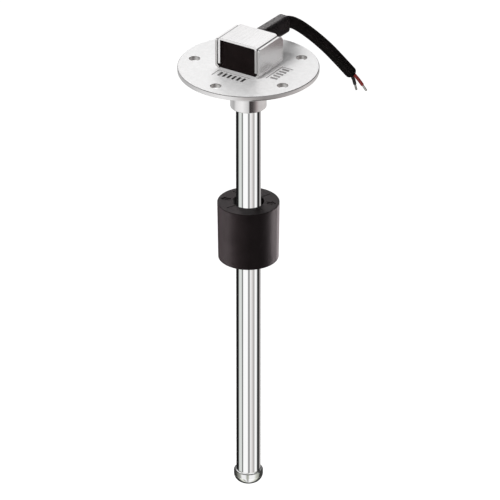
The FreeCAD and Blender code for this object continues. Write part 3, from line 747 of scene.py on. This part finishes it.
# Outlines of the recesses in the float's top: radius and sideways, in millimetres
GROOVE = [(8.2, -0.3), (12.8, -0.3), (12.8, 0.3), (8.2, 0.3)]
ARROW = [
    (8.85, -1.2),
    (11.35, -1.2),
    (11.35, -2.2),
    (13.85, 0.0),
    (11.35, 2.2),
    (11.35, 1.2),
    (8.85, 1.2),
]


def top_recess(outline, depth):
    """A cutter for a recess in the float's top."""
    low = FLOAT_TOP - depth
    cutter = prism([(r * MM, side * MM, low) for r, side in outline], (0.0, 0.0, depth + MM))
    close_edit()
    return cutter


def groove_cutter(number):
    cutter = top_recess(GROOVE, GROOVE_DEPTH)
    turn(cutter, math.radians(GROOVE_ANGLE + 90.0 * number))
    return cutter


def arrow_cutter(number):
    """A cutter for an arrow, less the rib that stays standing in it."""
    cutter = top_recess(ARROW, ARROW_DEPTH)
    rib_low = FLOAT_TOP - ARROW_DEPTH - MM
    carve(cutter, block((RIB_START, -RIB_HALF, rib_low), (RIB_END, RIB_HALF, FLOAT_TOP - RIB_BELOW)))
    turn(cutter, math.radians(ARROW_ANGLE + 180.0 * number))
    return cutter


def make_float():
    obj = turned(
        [
            (MOUTH_R, FLOAT_TOP),
            (MOUTH_R, FLOAT_TOP - MOUTH_DEPTH),
            (FLOAT_BORE_R, FLOAT_TOP - MOUTH_DEPTH),
            (FLOAT_BORE_R, FLOAT_LOW),
            (POCKET_IN_R, FLOAT_LOW),
            (POCKET_IN_R, POCKET_TOP),
            (POCKET_OUT_R, POCKET_TOP),
            (POCKET_OUT_R, FLOAT_LOW),
            (FLOAT_LOW_R, FLOAT_LOW),
            (FLOAT_R, FLOAT_TOP),
        ],
        steps=160,
    )
    round_ring(obj, FLOAT_R, FLOAT_TOP, FLOAT_ROUND)
    round_ring(obj, FLOAT_LOW_R, FLOAT_LOW, FLOAT_ROUND)
    round_ring(obj, MOUTH_R, FLOAT_TOP, MOUTH_ROUND, 3)
    close_edit()
    cutters = [groove_cutter(i) for i in range(4)]
    cutters += [arrow_cutter(i) for i in range(2)]
    carve(obj, join(cutters))
    break_edges(obj, FLOAT_BREAK)
    settle(obj, "float_moulding", "float", FLOAT, "float_body")
    # Kept out of mirrors, so that the stem's stripes stay whole beside it
    obj.visible_glossy = False


# Head


def folded_sheet(half, back, low, high, bend, opens_up):
    """A box without its ends and one side, with its two folds rounded, that stays in edit mode."""
    obj = open_block((-half, HEAD_FRONT, low), (half, back, high))
    open_side = 1 if opens_up else -1
    pick_faces(obj, lambda centre, normal: abs(normal.y) > 0.9 or normal.z * open_side > 0.9)
    bpy.ops.mesh.delete(type="FACE")
    fold_z = low if opens_up else high
    round_edges(obj, bend, 8, lambda a, b: runs_out(a, b) and same(a.z, fold_z))
    return obj


def round_corners(obj, size, y):
    """Rounds the two upper corners of the base's walls at one end."""
    pick_corners(obj, lambda corner: same(corner.z, BASE_TOP) and same(corner.y, y))
    bpy.ops.mesh.bevel(offset=size, segments=6, affect="VERTICES")


def faces_front(centre, normal):
    return normal.dot(HEAD_OUT) < -0.9


def make_base():
    """The channel that opens upwards, with a notch in its floor's front."""
    obj = folded_sheet(BASE_HALF, BASE_BACK, FLANGE_TOP, BASE_TOP, BASE_BEND, True)
    round_corners(obj, BASE_FRONT_ROUND, HEAD_FRONT)
    round_corners(obj, BASE_BACK_ROUND, BASE_BACK)
    close_edit()
    thicken(obj)
    carve(obj, drill(WIRE_HOLE_R, 4 * SHEET, (0, 0, FLANGE_TOP)))
    notch_low = (-NOTCH_HALF, HEAD_FRONT - MM, FLANGE_TOP - MM)
    carve(obj, block(notch_low, (NOTCH_HALF, NOTCH_BACK, FLANGE_TOP + 1.2 * SHEET)))
    break_edges(obj, SHEET_BREAK, 3)
    turn(obj, HEAD_YAW)
    settle(obj, "head_channel", "sender", BRUSHED, "head_base")
    second_finish(obj, CUT_STEEL_AND_SHADE, faces_front)


def make_cover():
    """The channel that opens downwards, nested in the base."""
    obj = folded_sheet(COVER_HALF, COVER_BACK, LEDGE, COVER_TOP, COVER_BEND, False)
    close_edit()
    thicken(obj)
    break_edges(obj, SHEET_BREAK, 3)
    turn(obj, HEAD_YAW)
    settle(obj, "head_lid", "sender", BRUSHED, "head_cover")

    def right_front_edge(centre, normal):
        on_wall = centre.dot(HEAD_ACROSS) > COVER_HALF - SHEET and centre.z < COVER_TOP - COVER_BEND
        return on_wall and faces_front(centre, normal)

    second_finish(obj, CUT_STEEL_AND_SHADE, right_front_edge)
    # The lid's side walls take the dark steel: painted shade in the seam between lid and base.
    second_finish(obj, DARK_SHADE_STEEL, lambda centre, normal: abs(normal.dot(HEAD_ACROSS)) > 0.8)


def make_potting():
    """The resin that fills both channels, with a socket for the boot and a shaft for the wires."""
    foot_half = BASE_HALF - SHEET - FIT
    body_half = COVER_HALF - SHEET - FIT
    right = [(foot_half, HEAD_FLOOR), (foot_half, LEDGE), (body_half, LEDGE), (body_half, POTTING_TOP)]
    left = [(-x, z) for x, z in reversed(right)]
    outline = [(x, POTTING_FRONT, z) for x, z in left[-1:] + right + left[:-1]]
    obj = prism(outline, (0.0, COVER_BACK - POTTING_FRONT, 0.0))
    round_edges(obj, COVER_BEND - SHEET, 4, lambda a, b: runs_out(a, b) and same(a.z, POTTING_TOP))
    round_edges(obj, BASE_BEND - SHEET, 5, lambda a, b: runs_out(a, b) and same(a.z, HEAD_FLOOR))
    close_edit()
    # The potting's black nose fills the base's notch down to the flange and hides the floor's front edge;
    # this black also stands in for shade along the head's foot.
    nose_half = NOTCH_HALF - FIT
    nose_low = (-nose_half, POTTING_FRONT, FLANGE_TOP + FIT)
    carve(obj, block(nose_low, (nose_half, NOTCH_BACK - FIT, HEAD_FLOOR + MM)), "UNION")
    half = BOOT_HALF + FIT
    carve(obj, block((-half, BOOT_START, BOOT_AXIS - half), (half, COVER_BACK + MM, BOOT_AXIS + half)))
    half = BOOT_BORE_R
    shaft_low = (-half, -half, HEAD_FLOOR - MM)
    carve(obj, block(shaft_low, (half, BOOT_START + SHAFT_OVERLAP, BOOT_AXIS + half)))
    break_edges(obj, POTTING_BREAK)
    turn(obj, HEAD_YAW)
    settle(obj, "head_potting", "sender", POTTING, "head_block")


def at_boot_end(a, b):
    return same(a.y, BOOT_END) and same(b.y, BOOT_END)


def make_boot():
    """A sleeve that droops a little behind the head, on a tongue that the potting holds."""
    obj = open_block((-BOOT_HALF, SLEEVE_START, SLEEVE_LOW), (BOOT_HALF, BOOT_END, SLEEVE_TOP))
    pick_edges(obj, at_boot_end)
    bpy.ops.transform.translate(value=(0.0, 0.0, -SLEEVE_DROOP))
    round_edges(obj, SLEEVE_ROUND, 10, runs_out)
    round_edges(obj, SLEEVE_END_ROUND, 3, at_boot_end)
    close_edit()
    tongue_low = (-BOOT_HALF, BOOT_START, BOOT_AXIS - BOOT_HALF)
    tongue_back = SLEEVE_START + TONGUE_OVERLAP
    tongue = open_block(tongue_low, (BOOT_HALF, tongue_back, BOOT_AXIS + BOOT_HALF))
    round_edges(tongue, BOOT_ROUND, 6, runs_out)
    close_edit()
    carve(obj, tongue, "UNION")
    middle = (0, (BOOT_START + BOOT_END) / 2, BOOT_AXIS)
    carve(obj, drill(BOOT_BORE_R, 2 * BOOT_END, middle, (math.pi / 2, 0, 0)))
    turn(obj, HEAD_YAW)
    settle(obj, "moulded_boot", "sender", BOOT, "cable_boot")


# Cable


def make_cable():
    curve = bpy.data.curves.new("cable_run", "CURVE")
    curve.dimensions = "3D"
    spline = curve.splines.new("NURBS")
    route = [head_point(0.0, BOOT_END + out * MM, BOOT_AXIS + up * MM) for out, up in CABLE_ROUTE]
    spline.points.add(len(route) - 1)
    for point, place in zip(spline.points, route):
        point.co = (*place, 1.0)
    spline.order_u = 3
    spline.use_endpoint_u = True
    spline.resolution_u = 16
    curve.bevel_depth = CABLE_D / 2
    curve.bevel_resolution = 12
    curve.use_fill_caps = True
    obj = bpy.data.objects.new("cable_run", curve)
    bpy.context.scene.collection.objects.link(obj)
    curve.materials.append(SHEATH)
    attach(obj, "sender")
    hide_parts("cable")


# Solids that stay as they are, with their finishes
DRESSED = {
    "signal_lead": RED_CORE,
    "ground_lead": BLACK_CORE,
    "signal_lead_tip": TINNED,
    "ground_lead_tip": TINNED,
    "signal_wire": RED_CORE,
    "ground_wire": BLACK_CORE,
    "reed_board": BOARD,
    "reed_capsules": GLASS,
    "reed_wires": TINNED,
    "ladder_resistors": CHIP,
    "board_foot": NATURAL,
    "board_seal": SEAL,
    "float_magnet": FERRITE,
    "magnet_plug": FLOAT,
}


def dress_solids():
    for node, material in DRESSED.items():
        mesh = NODES[node].data
        mesh.materials.clear()
        mesh.materials.append(material)


make_flange()
make_stem()
make_cap()
make_float()
make_base()
make_cover()
make_potting()
make_boot()
make_cable()
dress_solids()


# Stage

FLOOR_R = 6.0
FLOOR_Z = -0.9
FLOOR_LIFT = 0.7
CARDS_Z = -0.87
RING_LOW = -0.865
RING_HIGH = 0.9
RIM_TIER = (-0.4385, -0.434)
UPPER_TIER = (0.06, 0.2)
CAMERA_PLACE = (0.000765, -2.20915, 1.07286)
CAMERA_TILT = math.radians(62.088)
CAMERA_LENS = 369.62


def light_path_mask(tree):
    """One for rays from the camera and for rays that mirror or pass through."""
    path = tree.nodes.new("ShaderNodeLightPath").outputs
    mirrored = math_node(tree, "MAXIMUM", path["Is Camera Ray"], path["Is Glossy Ray"])
    return math_node(tree, "MAXIMUM", mirrored, path["Is Transmission Ray"])


def make_floor():
    bpy.ops.object.select_all(action="DESELECT")
    place = (0, 0, FLOOR_Z)
    bpy.ops.mesh.primitive_circle_add(vertices=64, radius=FLOOR_R, fill_type="NGON", location=place)
    floor = bpy.context.object
    floor.name = "studio_floor"
    material = bpy.data.materials.new("studio_floor")
    material.use_nodes = True
    tree = material.node_tree
    shader = principled(material)
    shader.inputs["Base Color"].default_value = (0.85, 0.85, 0.85, 1.0)
    shader.inputs["Roughness"].default_value = 0.9
    shader.inputs["Specular IOR Level"].default_value = 0.0
    shader.inputs["Emission Color"].default_value = (1.0, 1.0, 1.0, 1.0)
    lift = math_node(tree, "MULTIPLY", light_path_mask(tree), FLOOR_LIFT)
    tree.links.new(lift, shader.inputs["Emission Strength"])
    floor.data.materials.append(material)


# The studio cards that steel mirrors, by bearing: degrees to the right of the front, tone and tint
NEUTRAL = (1.0, 1.0, 1.0)
COOL = (0.96, 1.0, 0.97)
WARM = (1.0, 0.96, 0.95)
ROSE = (1.0, 0.89, 0.89)
GREEN = (0.98, 1.0, 0.9)
MAUVE = (1.0, 0.9, 0.93)
STEM_CARDS = [
    (-180, 0.012, NEUTRAL),
    (-108, 0.012, NEUTRAL),
    (-97, 0.74, COOL),
    (-69, 0.84, COOL),
    (-61, 0.17, COOL),
    (-55, 0.17, COOL),
    (-48, 1.07, NEUTRAL),
    (-8, 1.07, NEUTRAL),
    (0, 0.27, NEUTRAL),
    (9, 0.25, NEUTRAL),
    (16, 0.97, NEUTRAL),
    (31, 0.84, WARM),
    (51, 0.42, WARM),
    (68, 1.07, NEUTRAL),
    (82, 1.05, NEUTRAL),
    (94, 0.012, NEUTRAL),
    (114, 0.012, NEUTRAL),
    (123, 0.24, WARM),
    (142, 0.46, WARM),
    (180, 0.5, WARM),
]
NECK_CARDS = [
    (-180, 0.6, NEUTRAL),
    (-138, 0.6, NEUTRAL),
    (-104, 0.5, NEUTRAL),
    (-86, 0.86, NEUTRAL),
    (-60, 1.0, NEUTRAL),
    (-38, 1.05, NEUTRAL),
    (-14, 0.85, NEUTRAL),
    (1, 0.7, NEUTRAL),
    (8, 0.05, ROSE),
    (26, 0.08, ROSE),
    (41, 0.21, ROSE),
    (55, 0.46, ROSE),
    (70, 0.66, WARM),
    (90, 0.68, WARM),
    (104, 0.72, WARM),
    (128, 0.7, WARM),
    (180, 0.6, NEUTRAL),
]
RIM_CARDS = [
    (-180, 0.5, NEUTRAL),
    (-110, 0.62, NEUTRAL),
    (-72, 0.86, NEUTRAL),
    (-40, 1.0, NEUTRAL),
    (-27, 0.9, NEUTRAL),
    (-8, 0.62, WARM),
    (12, 0.41, WARM),
    (24, 0.33, WARM),
    (42, 0.35, WARM),
    (64, 0.45, WARM),
    (88, 0.59, WARM),
    (104, 0.7, WARM),
    (124, 0.62, WARM),
    (180, 0.46, NEUTRAL),
]
SHEET_CARDS = [
    (-180, 0.4, NEUTRAL),
    (-146, 0.5, NEUTRAL),
    (-110, 0.6, NEUTRAL),
    (-84, 0.75, NEUTRAL),
    (-60, 0.9, NEUTRAL),
    (-38, 0.95, NEUTRAL),
    (0, 0.83, NEUTRAL),
    (20, 0.6, ROSE),
    (44, 0.25, ROSE),
    (90, 0.25, ROSE),
    (140, 0.28, ROSE),
    (180, 0.4, NEUTRAL),
]
BLACK_CARDS = [
    (-180, 0.08, ROSE),
    (-164, 0.08, ROSE),
    (-146, 0.5, NEUTRAL),
    (-84, 0.75, NEUTRAL),
    (-38, 0.95, NEUTRAL),
    (0, 0.83, NEUTRAL),
    (44, 0.36, ROSE),
    (90, 0.55, ROSE),
    (102, 0.07, ROSE),
    (180, 0.08, ROSE),
]
UPPER_CARDS = [
    (-180, 1.0, NEUTRAL),
    (56, 1.0, NEUTRAL),
    (80, 0.05, NEUTRAL),
    (152, 0.05, NEUTRAL),
    (168, 1.0, NEUTRAL),
    (180, 1.0, NEUTRAL),
]
WHITE_CARDS = [
    (-180, 1.0, NEUTRAL),
    (180, 1.0, NEUTRAL),
]
CAP_CARDS = [
    (-180, 0.24, NEUTRAL),
    (-150, 0.05, NEUTRAL),
    (-110, 0.05, GREEN),
    (-92, 0.2, GREEN),
    (-66, 0.42, GREEN),
    (-52, 0.95, NEUTRAL),
    (-24, 0.95, NEUTRAL),
    (-10, 0.42, GREEN),
    (0, 0.5, GREEN),
    (8, 1.0, NEUTRAL),
    (44, 1.0, NEUTRAL),
    (64, 0.62, GREEN),
    (84, 0.42, GREEN),
    (98, 0.05, GREEN),
    (150, 0.06, NEUTRAL),
    (180, 0.24, NEUTRAL),
]
FLOOR_CARDS = [
    (-180, 0.03, NEUTRAL),
    (-100, 0.05, GREEN),
    (-84, 0.25, GREEN),
    (-68, 0.8, GREEN),
    (-52, 0.85, GREEN),
    (-36, 0.35, GREEN),
    (-22, 0.95, NEUTRAL),
    (-6, 0.3, NEUTRAL),
    (6, 1.0, NEUTRAL),
    (40, 1.0, NEUTRAL),
    (60, 0.75, GREEN),
    (80, 0.5, GREEN),
    (96, 0.06, GREEN),
    (180, 0.03, NEUTRAL),
]


def only_mirrored(card):
    """Leaves a studio card to mirrored rays alone."""
    card.visible_camera = False
    card.visible_diffuse = False
    card.visible_shadow = False
    card.visible_transmission = False


def light_only(obj, pieces, state="INCLUDE"):
    """Lets a light reach the named pieces alone, or all but these."""
    group = bpy.data.collections.new(obj.name + "_pieces")
    for piece in pieces:
        group.objects.link(bpy.data.objects[piece])
    for entry in group.collection_objects:
        entry.light_linking.link_state = state
    obj.light_linking.receiver_collection = group


def tones_by_bearing(tree, share, cards):
    """The colours of a row of cards at a share of the way round."""
    ramp = tree.nodes.new("ShaderNodeValToRGB")
    stops = ramp.color_ramp.elements
    while len(stops) < len(cards):
        stops.new(0.5)
    for stop, (degrees, tone, tint) in zip(stops, cards):
        stop.position = (degrees + 180.0) / 360.0
        stop.color = (*(tone * part for part in tint), 1.0)
    tree.links.new(share, ramp.inputs["Fac"])
    return ramp.outputs["Color"]


def paint_cards(obj, name, lowest, tiers=(), clear=False):
    """Gives a ring or disc its tones by bearing; each tier takes over between two heights."""
    obj.name = name
    keep_place()
    material = bpy.data.materials.new(name)
    material.use_nodes = True
    tree = material.node_tree
    tree.nodes.clear()
    place = tree.nodes.new("ShaderNodeTexCoord")
    split = tree.nodes.new("ShaderNodeSeparateXYZ")
    tree.links.new(place.outputs["Object"], split.inputs[0])
    forward = math_node(tree, "MULTIPLY", split.outputs["Y"], -1.0)
    bearing = math_node(tree, "ARCTAN2", split.outputs["X"], forward)
    share = map_range(tree, bearing, -math.pi, math.pi)
    colour = tones_by_bearing(tree, share, lowest)
    for cards, start, end in tiers:
        taken = map_range(tree, split.outputs["Z"], start, end)
        colour = mix_colours(tree, taken, colour, tones_by_bearing(tree, share, cards))
    glow = tree.nodes.new("ShaderNodeEmission")
    tree.links.new(colour, glow.inputs["Color"])
    shown = glow
    if clear:
        shown = tree.nodes.new("ShaderNodeAddShader")
        tree.links.new(glow.outputs[0], shown.inputs[0])
        tree.links.new(tree.nodes.new("ShaderNodeBsdfTransparent").outputs[0], shown.inputs[1])
    out = tree.nodes.new("ShaderNodeOutputMaterial")
    tree.links.new(shown.outputs[0], out.inputs["Surface"])
    obj.data.materials.append(material)
    only_mirrored(obj)


def card_ring(radius):
    """An open ring about the part's axis, from the floor up."""
    bpy.ops.object.select_all(action="DESELECT")
    bpy.ops.mesh.primitive_cylinder_add(
        vertices=128,
        radius=radius,
        depth=RING_HIGH - RING_LOW,
        end_fill_type="NOTHING",
        location=(0, 0, (RING_LOW + RING_HIGH) / 2),
    )
    return bpy.context.object


def make_card_rings():
    """Cards that stand around the part: a clear ring for each kind of steel, and one for the rest."""
    cap = ["polished_cap"]
    stem = ["polished_stem", "float_moulding"]
    flange = ["flange_casting"]
    sheet = ["head_channel", "head_lid"]
    rim = (RIM_CARDS, *RIM_TIER)
    upper = (UPPER_CARDS, *UPPER_TIER)
    white = (WHITE_CARDS, *UPPER_TIER)
    for name, radius, cards, tiers, pieces in (
        ("cap_cards", 0.87, CAP_CARDS, [], cap),
        ("stem_cards", 0.88, STEM_CARDS, [upper], stem),
        ("flange_cards", 0.89, NECK_CARDS, [rim, upper], flange),
        ("sheet_cards", 0.895, SHEET_CARDS, [white], sheet),
    ):
        ring = card_ring(radius)
        paint_cards(ring, name, cards, tiers, clear=True)
        light_only(ring, pieces)
    black_ring = card_ring(0.9)
    paint_cards(black_ring, "black_cards", BLACK_CARDS, [upper])
    light_only(black_ring, [*cap, *stem, *flange, *sheet], "EXCLUDE")


def make_floor_cards():
    """Cards that lie on the floor under the part."""
    bpy.ops.object.select_all(action="DESELECT")
    bpy.ops.mesh.primitive_circle_add(vertices=96, radius=0.9, fill_type="TRIFAN", location=(0, 0, CARDS_Z))
    paint_cards(bpy.context.object, "floor_cards", FLOOR_CARDS)


def make_canopy():
    """A dark canopy over the front of the studio, which edges and bends mirror as thin lines."""
    bpy.ops.object.select_all(action="DESELECT")
    bpy.ops.mesh.primitive_uv_sphere_add(segments=48, ring_count=36, radius=2.6)
    canopy = bpy.context.object
    canopy.name = "studio_canopy"
    edit(canopy)

    def outside(centre, normal):
        lean = math.degrees(math.atan2(centre.z, centre.y))
        return not 68.0 < lean < 165.0 or centre.z < 0.3

    pick_faces(canopy, outside)
    bpy.ops.mesh.delete(type="FACE")
    close_edit()
    material = bpy.data.materials.new("studio_canopy")
    material.use_nodes = True
    shader = principled(material)
    shader.inputs["Base Color"].default_value = (0.12, 0.12, 0.12, 1.0)
    shader.inputs["Roughness"].default_value = 0.9
    canopy.data.materials.append(material)
    only_mirrored(canopy)


def backdrop(tree, strength):
    """A white background of one strength."""
    node = tree.nodes.new("ShaderNodeBackground")
    node.inputs["Color"].default_value = (1.0, 1.0, 1.0, 1.0)
    node.inputs["Strength"].default_value = strength
    return node.outputs[0]


def make_world():
    """Soft light on the part, and white wherever the background is seen."""
    world = bpy.data.worlds.new("studio")
    bpy.context.scene.world = world
    world.use_nodes = True
    tree = world.node_tree
    tree.nodes.clear()
    mix = tree.nodes.new("ShaderNodeMixShader")
    tree.links.new(light_path_mask(tree), mix.inputs["Fac"])
    tree.links.new(backdrop(tree, 0.3), mix.inputs[1])
    tree.links.new(backdrop(tree, 1.0), mix.inputs[2])
    out = tree.nodes.new("ShaderNodeOutputWorld")
    tree.links.new(mix.outputs[0], out.inputs["Surface"])


def add_lamp(name, place, target, size, power, pieces=()):
    """A square lamp aimed at a point: unmirrored for the whole part, or mirrored by named pieces alone."""
    lamp = bpy.data.lights.new(name, "AREA")
    lamp.shape = "SQUARE"
    lamp.size = size
    lamp.energy = power
    obj = bpy.data.objects.new(name, lamp)
    obj.location = place
    obj.rotation_euler = (Vector(target) - Vector(place)).to_track_quat("-Z", "Y").to_euler()
    obj.visible_glossy = bool(pieces)
    bpy.context.scene.collection.objects.link(obj)
    if pieces:
        lamp.color = MAUVE
        light_only(obj, pieces)


def make_lamps():
    """A key and a fill for the whole part, and three lamps along the float's edges."""
    float_piece = ["float_moulding"]
    add_lamp("key", (-0.9, -1.0, 1.2), (0.0, 0.0, 0.0), 0.6, 33.0)
    add_lamp("fill", (1.4, -0.6, 0.6), (0.0, 0.0, -0.05), 0.9, 1.5)
    add_lamp("right_edge", (1.1, 0.63, -0.5), (0.0, 0.0, -0.085), 0.5, 54.0, float_piece)
    add_lamp("left_edge", (-1.3, 0.1, -0.5), (0.0, 0.0, -0.085), 0.9, 82.0, float_piece)
    add_lamp("back_edge", (-0.35, 1.2, 0.5), (0.0, 0.0, -0.07), 0.5, 11.0, float_piece)


def make_camera():
    lens = bpy.data.cameras.new("camera")
    lens.sensor_width = 36.0
    lens.lens = CAMERA_LENS
    lens.clip_end = 50.0
    camera = bpy.data.objects.new("camera", lens)
    camera.location = CAMERA_PLACE
    camera.rotation_euler = (CAMERA_TILT, 0.0, 0.0)
    bpy.context.scene.collection.objects.link(camera)
    bpy.context.scene.camera = camera


make_floor()
make_card_rings()
make_floor_cards()
make_canopy()
make_world()
make_lamps()
make_camera()
bpy.context.scene.view_settings.view_transform = "Standard"
